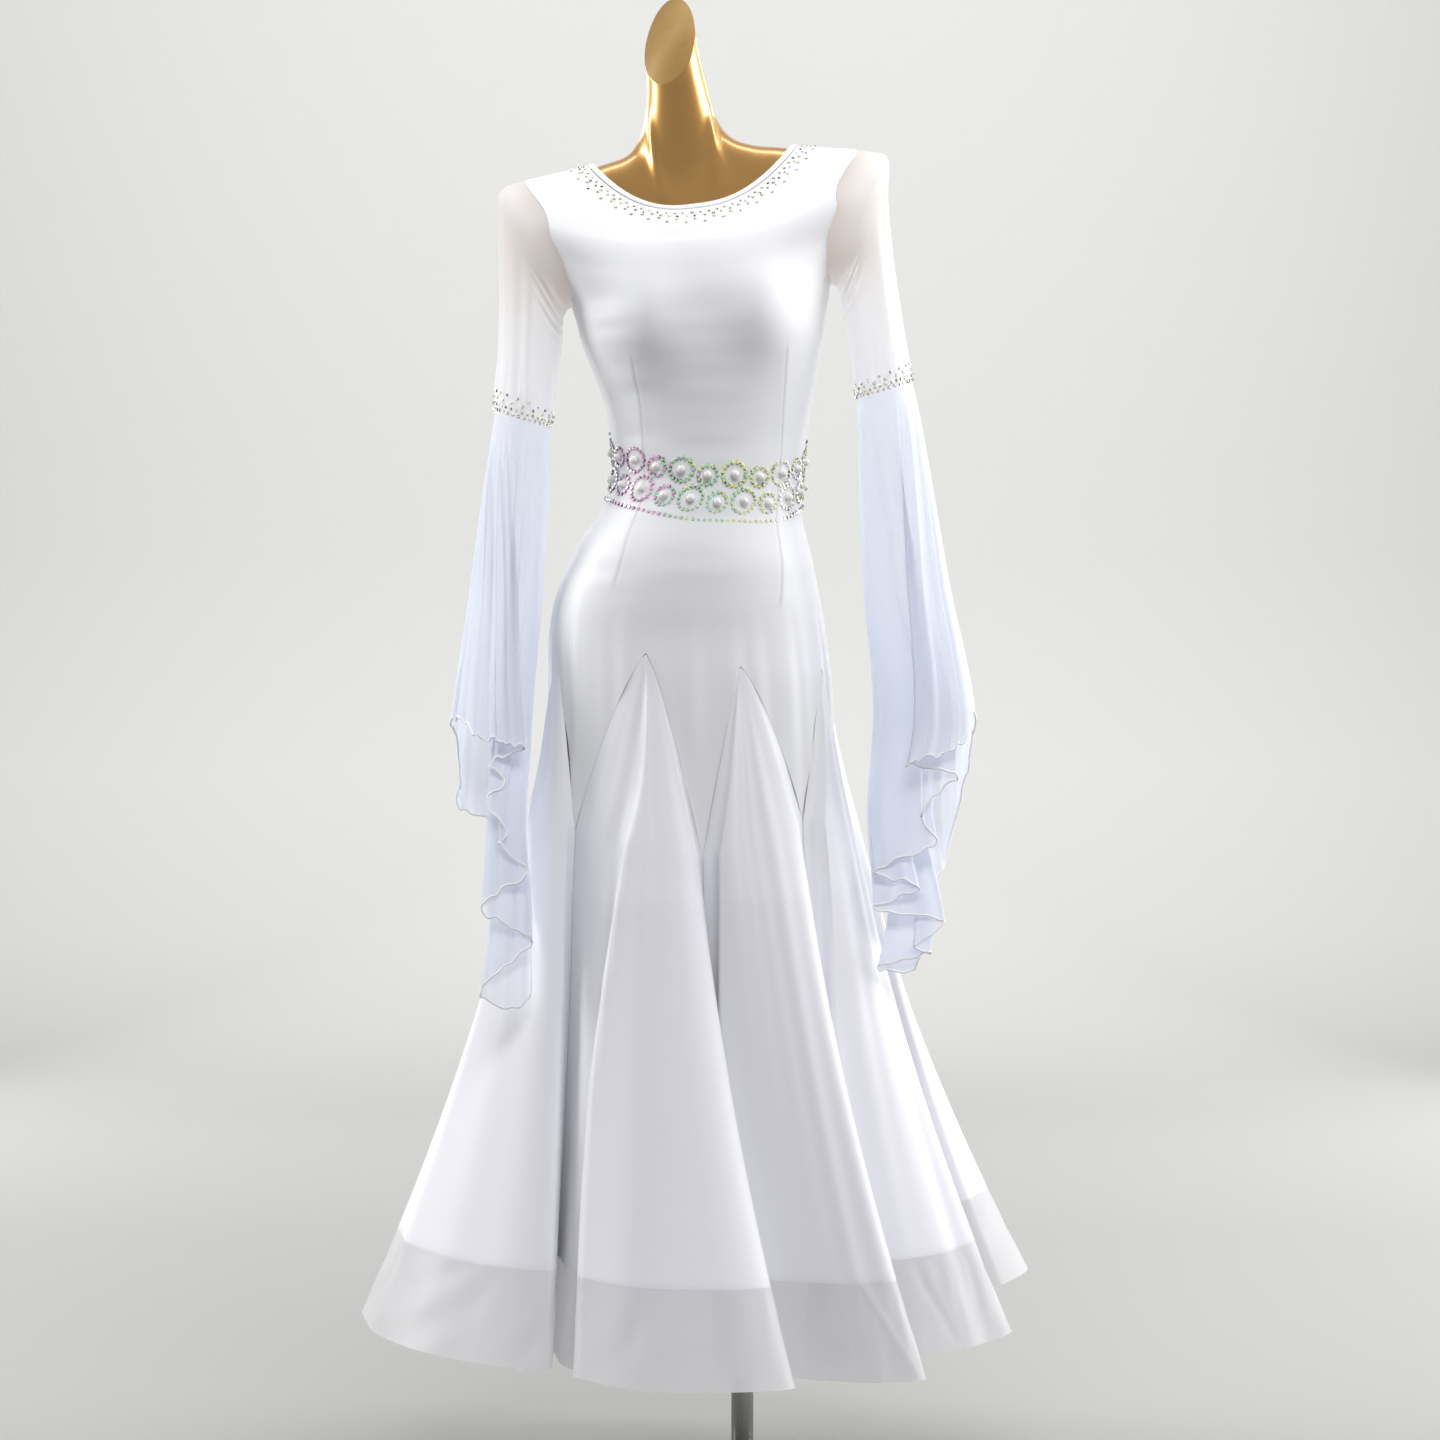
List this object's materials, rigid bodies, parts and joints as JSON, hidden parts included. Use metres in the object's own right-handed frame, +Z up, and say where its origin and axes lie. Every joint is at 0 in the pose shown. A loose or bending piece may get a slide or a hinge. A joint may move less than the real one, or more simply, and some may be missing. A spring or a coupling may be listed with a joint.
{
  "type": "ballroom dance dress on a limbless dress form with pole and base plate",
  "caption": "White ballroom dance dress with sheer sleeves, chiffon sleeve flounces and eight hip godets, shown on a gold dress form on a pole.",
  "frame": {"origin": "centre of the base plate's underside, on the pole's axis, on the floor", "axes": "+Z up along the pole, -Y towards the wearer's front, +X towards the wearer's left"},
  "size_m": [0.7439, 0.7206, 1.6698],
  "materials": {
    "jersey": "smooth stretch jersey with a faint satin sheen",
    "mesh": "sheer stretch mesh",
    "chiffon": "matt translucent chiffon",
    "crinoline": "stiff half-sheer band",
    "gold": "gold lacquer",
    "steel": "satin"
  },
  "bodies": {
    "root": {"front_panel": "jersey", "back_panel": "jersey", "neck_binding": "jersey", "right_sleeve": "mesh", "left_sleeve": "mesh", "right_flounce": "chiffon", "left_flounce": "chiffon", "godet_1": "jersey", "godet_2": "jersey", "godet_3": "jersey", "godet_4": "jersey", "godet_5": "jersey", "godet_6": "jersey", "godet_7": "jersey", "godet_8": "jersey", "hem_band": "crinoline", "dress_form": "gold", "pole": "steel", "base_plate": "steel"}
  },
  "joints": []
}
